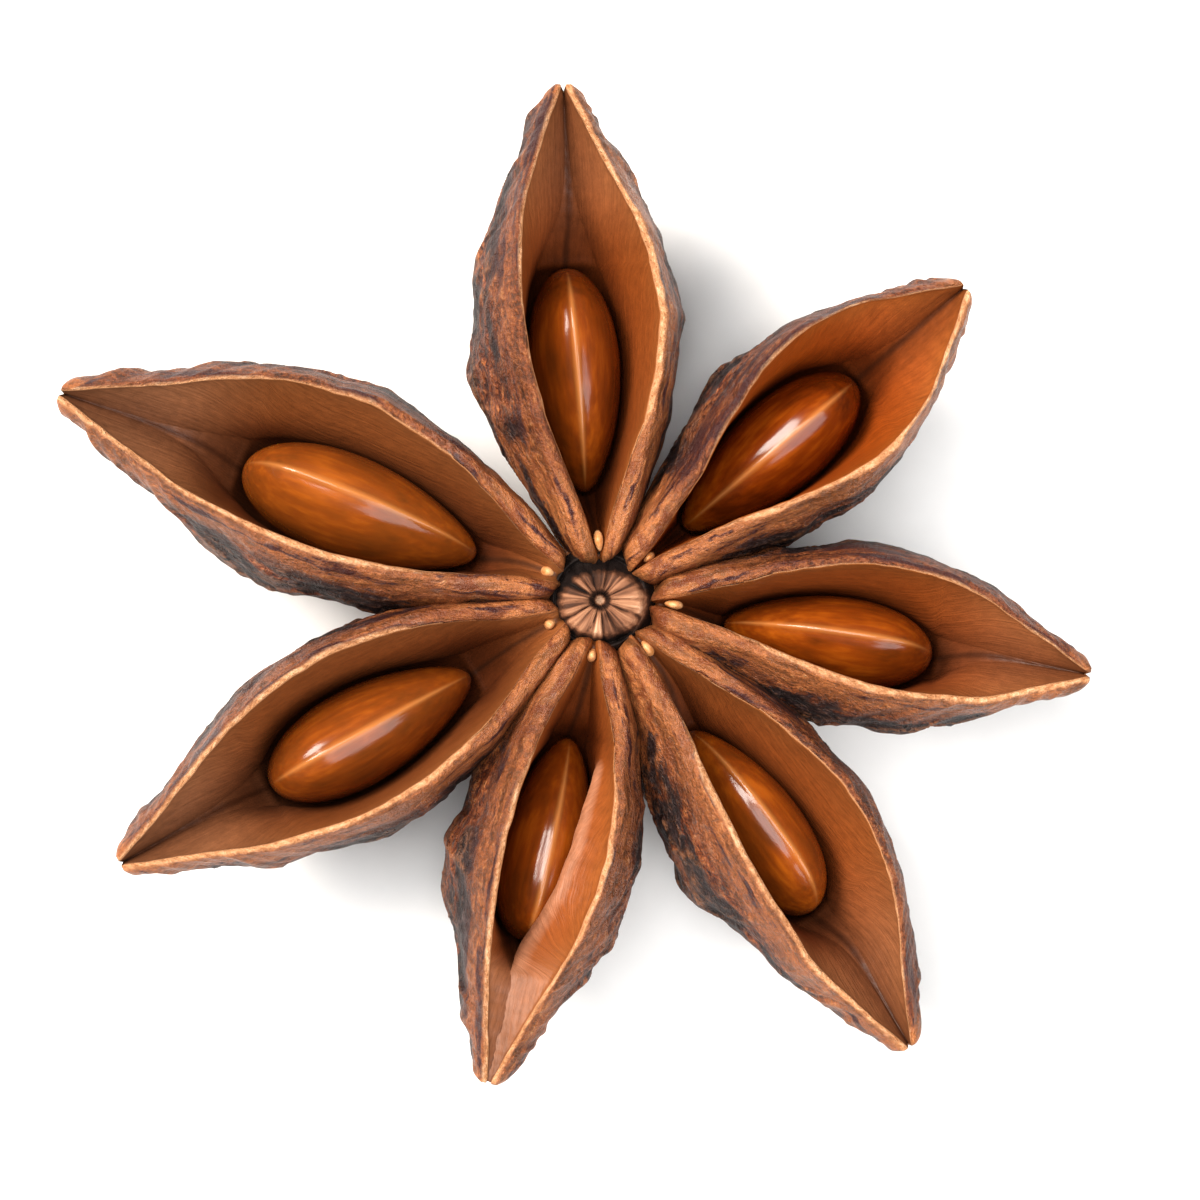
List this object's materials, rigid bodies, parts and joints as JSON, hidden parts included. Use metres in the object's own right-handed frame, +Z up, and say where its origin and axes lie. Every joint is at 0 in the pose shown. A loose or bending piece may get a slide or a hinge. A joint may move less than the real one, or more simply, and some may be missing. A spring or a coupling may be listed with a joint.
{
  "type": "star anise pod",
  "caption": "Dried star-shaped fruit: boat-shaped follicles round a short column, each split along the top and showing one glossy seed.",
  "frame": {"origin": "on the scar of the broken stalk, in the plane that the fruit rests on, straight below the middle of the disc on top", "axes": "+Z up along the column, out of the openings of the follicles; +X is the fruit's longest way across, between the follicles named east and northeast; +Y is near the follicle named north"},
  "size_m": [0.0301, 0.0292, 0.0081],
  "materials": {
    "husk": "rough dried bark outside, satin inside the follicles",
    "seed": "hard glossy brown seed coat"
  },
  "bodies": {
    "root": {"husk": "husk", "seed_north": "seed", "seed_northwest": "seed", "seed_southwest": "seed", "seed_south": "seed", "seed_southeast": "seed", "seed_east": "seed", "seed_northeast": "seed"}
  },
  "joints": []
}
